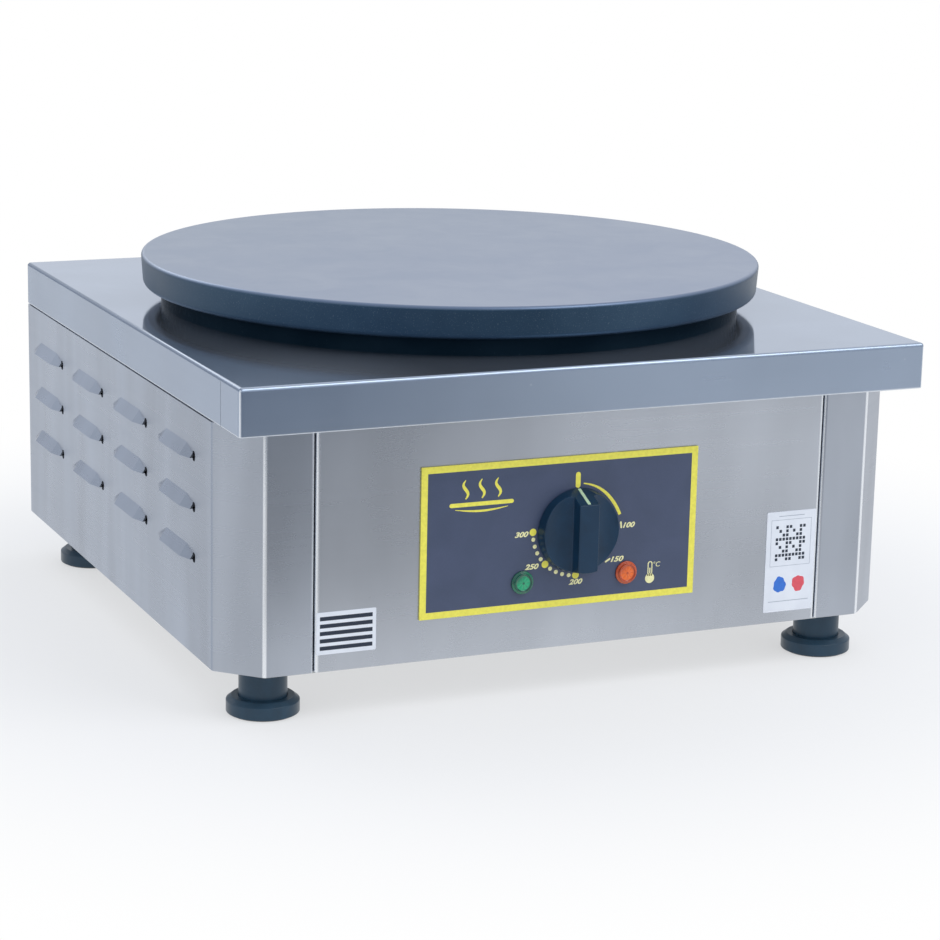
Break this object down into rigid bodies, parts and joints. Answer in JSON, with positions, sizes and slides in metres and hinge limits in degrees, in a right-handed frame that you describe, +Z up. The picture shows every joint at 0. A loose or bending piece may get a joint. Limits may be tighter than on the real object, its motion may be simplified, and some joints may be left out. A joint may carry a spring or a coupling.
{
  "type": "electric crepe maker",
  "caption": "Electric crepe maker with a round flat griddle plate on a square stainless case, a turning heat knob on its front and adjustable feet.",
  "frame": {"origin": "on the worktop, under the middle of the machine's overall width and depth", "axes": "+X to the cook's right, +Y to the rear of the machine, +Z up"},
  "size_m": [0.4544, 0.466, 0.2396],
  "materials": {
    "griddle_plate": "fine-cast, satin cooking face",
    "support_ring": "black enamel",
    "insulation_disc": "pressed mineral board",
    "heating_element": "dark heat-stained sheath",
    "clamp_steel": "plain steel",
    "zinc_steel": "zinc-plated",
    "stainless": "brushed stainless",
    "base_steel": "galvanised",
    "foot_plastic": "moulded black",
    "foot_rubber": "matt",
    "fascia_print": "satin print",
    "label_print": "printed film",
    "green_lens": "clear tinted",
    "orange_lens": "clear tinted",
    "lamp_plastic": "moulded",
    "control_ceramic": "pressed",
    "knob_plastic": "satin moulded",
    "brass": "plain",
    "copper": "drawn tube",
    "gland_plastic": "moulded",
    "block_plastic": "moulded",
    "live_insulation": "silicone",
    "neutral_insulation": "silicone",
    "earth_insulation": "silicone",
    "lamp_insulation": "silicone"
  },
  "bodies": {
    "case": {"base_plate": "base_steel", "base_screws": "zinc_steel", "clamp_screws": "clamp_steel", "control_fascia": "fascia_print", "earth_nut": "brass", "earth_stud": "brass", "earth_wire": "earth_insulation", "element_clamp": "clamp_steel", "element_link": "brass", "foot_collars": "foot_plastic", "foot_nuts": "zinc_steel", "foot_washers": "zinc_steel", "front_crossbar": "base_steel", "front_panel": "stainless", "gland_body": "gland_plastic", "gland_cap_nut": "gland_plastic", "gland_locknut": "gland_plastic", "gland_seal": "foot_rubber", "green_lamp_body": "lamp_plastic", "green_lamp_lens": "green_lens", "griddle_plate": "griddle_plate", "inner_heating_element": "heating_element", "insulation_disc": "insulation_disc", "joint_rivets": "stainless", "lamp_wires": "lamp_insulation", "left_label": "label_print", "left_side_panel": "stainless", "live_wires": "live_insulation", "neutral_wires": "neutral_insulation", "orange_lamp_body": "lamp_plastic", "orange_lamp_lens": "orange_lens", "outer_heating_element": "heating_element", "plate_stud_nuts": "zinc_steel", "plate_studs": "zinc_steel", "rear_crossbar": "base_steel", "rear_panel": "stainless", "right_label": "label_print", "right_side_panel": "stainless", "support_ring": "support_ring", "temperature_probe": "copper", "terminal_block": "block_plastic", "terminal_screws": "brass", "thermostat_body": "control_ceramic", "thermostat_screws": "zinc_steel", "top_tray": "stainless"},
    "knob": {"control_knob": "knob_plastic", "thermostat_shaft": "zinc_steel"},
    "foot_pad_front_left": {"foot_pad_front_left": "foot_rubber"},
    "foot_screw_front_left": {"foot_disc_front_left": "foot_plastic", "foot_stud_front_left": "zinc_steel"},
    "foot_pad_front_right": {"foot_pad_front_right": "foot_rubber"},
    "foot_screw_front_right": {"foot_disc_front_right": "foot_plastic", "foot_stud_front_right": "zinc_steel"},
    "foot_pad_rear_left": {"foot_pad_rear_left": "foot_rubber"},
    "foot_screw_rear_left": {"foot_disc_rear_left": "foot_plastic", "foot_stud_rear_left": "zinc_steel"},
    "foot_pad_rear_right": {"foot_pad_rear_right": "foot_rubber"},
    "foot_screw_rear_right": {"foot_disc_rear_right": "foot_plastic", "foot_stud_rear_right": "zinc_steel"}
  },
  "joints": [
    {"name": "knob_turn", "type": "hinge", "parent": "case", "child": "knob", "pos_m": [-0.0007, -0.2102, 0.1028], "axis": [0, 1, 0], "range_deg": [0, 270]},
    {"name": "foot_height_front_left", "type": "slide", "parent": "case", "child": "foot_pad_front_left", "axis": [0, 0, -1], "range_m": [0, 0.012]},
    {"name": "foot_turn_front_left", "type": "hinge", "parent": "foot_pad_front_left", "child": "foot_screw_front_left", "pos_m": [-0.188, -0.1782, 0.003], "axis": [0, 0, -1], "range_deg": [0, 2880]},
    {"name": "foot_height_front_right", "type": "slide", "parent": "case", "child": "foot_pad_front_right", "axis": [0, 0, -1], "range_m": [0, 0.012]},
    {"name": "foot_turn_front_right", "type": "hinge", "parent": "foot_pad_front_right", "child": "foot_screw_front_right", "pos_m": [0.188, -0.1782, 0.003], "axis": [0, 0, -1], "range_deg": [0, 2880]},
    {"name": "foot_height_rear_left", "type": "slide", "parent": "case", "child": "foot_pad_rear_left", "axis": [0, 0, -1], "range_m": [0, 0.012]},
    {"name": "foot_turn_rear_left", "type": "hinge", "parent": "foot_pad_rear_left", "child": "foot_screw_rear_left", "pos_m": [-0.188, 0.177, 0.003], "axis": [0, 0, -1], "range_deg": [0, 2880]},
    {"name": "foot_height_rear_right", "type": "slide", "parent": "case", "child": "foot_pad_rear_right", "axis": [0, 0, -1], "range_m": [0, 0.012]},
    {"name": "foot_turn_rear_right", "type": "hinge", "parent": "foot_pad_rear_right", "child": "foot_screw_rear_right", "pos_m": [0.188, 0.177, 0.003], "axis": [0, 0, -1], "range_deg": [0, 2880]}
  ],
  "couplings": [
    {"joint": "foot_height_front_left", "follows": "foot_turn_front_left", "m_per_rad": 0.00023873},
    {"joint": "foot_height_front_right", "follows": "foot_turn_front_right", "m_per_rad": 0.00023873},
    {"joint": "foot_height_rear_left", "follows": "foot_turn_rear_left", "m_per_rad": 0.00023873},
    {"joint": "foot_height_rear_right", "follows": "foot_turn_rear_right", "m_per_rad": 0.00023873}
  ]
}
